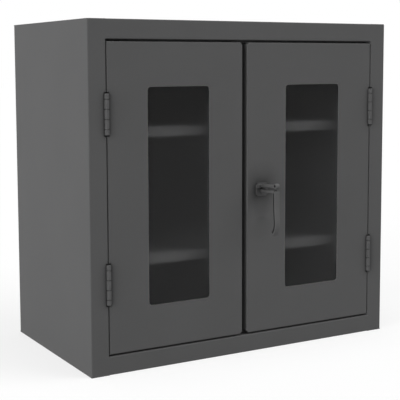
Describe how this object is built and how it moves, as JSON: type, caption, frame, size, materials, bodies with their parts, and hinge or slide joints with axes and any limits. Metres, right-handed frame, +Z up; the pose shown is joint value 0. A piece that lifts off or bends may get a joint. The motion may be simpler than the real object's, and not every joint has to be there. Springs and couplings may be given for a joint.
{
  "type": "tool cabinet with doors",
  "caption": "Free-standing steel tool cabinet with two windowed hinged doors, shelves inside and a padlockable lever that drives a three-point latch.",
  "frame": {"origin": "centre of the flat base", "axes": "+Z up, -Y towards the user who faces the doors, +X to that user's right"},
  "size_m": [0.9144, 0.5894, 0.8806],
  "materials": {
    "grey_paint": "grey powder coat, fine texture, satin",
    "latch_paint": "grey paint on a cast lever and plate, satin",
    "zinc_steel": "bright zinc plate",
    "clear_plastic": "clear plastic sheet, slightly hazy",
    "rubber": "black, matt"
  },
  "bodies": {
    "cabinet": {"top_panel": "grey_paint", "bottom_panel": "grey_paint", "back_panel": "grey_paint", "left_side_panel": "grey_paint", "right_side_panel": "grey_paint", "left_front_standard": "grey_paint", "right_front_standard": "grey_paint", "left_rear_standard": "grey_paint", "right_rear_standard": "grey_paint", "upper_shelf": "grey_paint", "lower_shelf": "grey_paint", "shelf_clips": "zinc_steel", "stop_bumpers": "rubber", "left_frame_leaves": "grey_paint", "left_lower_hinge_pin": "grey_paint", "left_upper_hinge_pin": "grey_paint", "right_frame_leaves": "grey_paint", "right_lower_hinge_pin": "grey_paint", "right_upper_hinge_pin": "grey_paint"},
    "left_door": {"left_door_panel": "grey_paint", "left_door_stiffener": "grey_paint", "left_pane": "clear_plastic", "left_pane_retainer_hinge_side": "grey_paint", "left_pane_retainer_free_side": "grey_paint", "left_pane_retainer_top": "grey_paint", "left_pane_retainer_bottom": "grey_paint", "left_pane_nuts": "zinc_steel", "left_door_leaves": "grey_paint", "centre_strip": "grey_paint"},
    "right_door": {"right_door_panel": "grey_paint", "right_door_stiffener": "grey_paint", "right_pane": "clear_plastic", "right_pane_retainer_hinge_side": "grey_paint", "right_pane_retainer_free_side": "grey_paint", "right_pane_retainer_top": "grey_paint", "right_pane_retainer_bottom": "grey_paint", "right_pane_nuts": "zinc_steel", "right_door_leaves": "grey_paint", "latch_plate": "latch_paint", "latch_bracket": "grey_paint", "top_rod_guide": "zinc_steel", "bottom_rod_guide": "zinc_steel"},
    "handle": {"lever": "latch_paint", "spindle": "zinc_steel", "cam_plate": "zinc_steel", "drive_pins": "zinc_steel", "spindle_nut": "zinc_steel"},
    "top_rod": {"top_rod": "zinc_steel", "top_rod_yoke": "zinc_steel"},
    "bottom_rod": {"bottom_rod": "zinc_steel", "bottom_rod_yoke": "zinc_steel"}
  },
  "joints": [
    {"name": "left_door_hinge", "type": "hinge", "parent": "cabinet", "child": "left_door", "pos_m": [-0.408, -0.254, 0], "axis": [0, 0, -1], "range_deg": [0, 170]},
    {"name": "right_door_hinge", "type": "hinge", "parent": "cabinet", "child": "right_door", "pos_m": [0.408, -0.254, 0], "axis": [0, 0, 1], "range_deg": [0, 170]},
    {"name": "handle_turn", "type": "hinge", "parent": "right_door", "child": "handle", "pos_m": [0.041, -0.254, 0.43445], "axis": [0, -1, 0], "range_deg": [0, 90]},
    {"name": "top_rod_slide", "type": "slide", "parent": "right_door", "child": "top_rod", "axis": [0, 0, 1], "range_m": [0, 0.03112]},
    {"name": "bottom_rod_slide", "type": "slide", "parent": "right_door", "child": "bottom_rod", "axis": [0, 0, -1], "range_m": [0, 0.03112]}
  ],
  "couplings": [
    {"joint": "top_rod_slide", "follows": "handle_turn", "m_per_rad": 0.019807},
    {"joint": "bottom_rod_slide", "follows": "handle_turn", "m_per_rad": 0.019807}
  ]
}
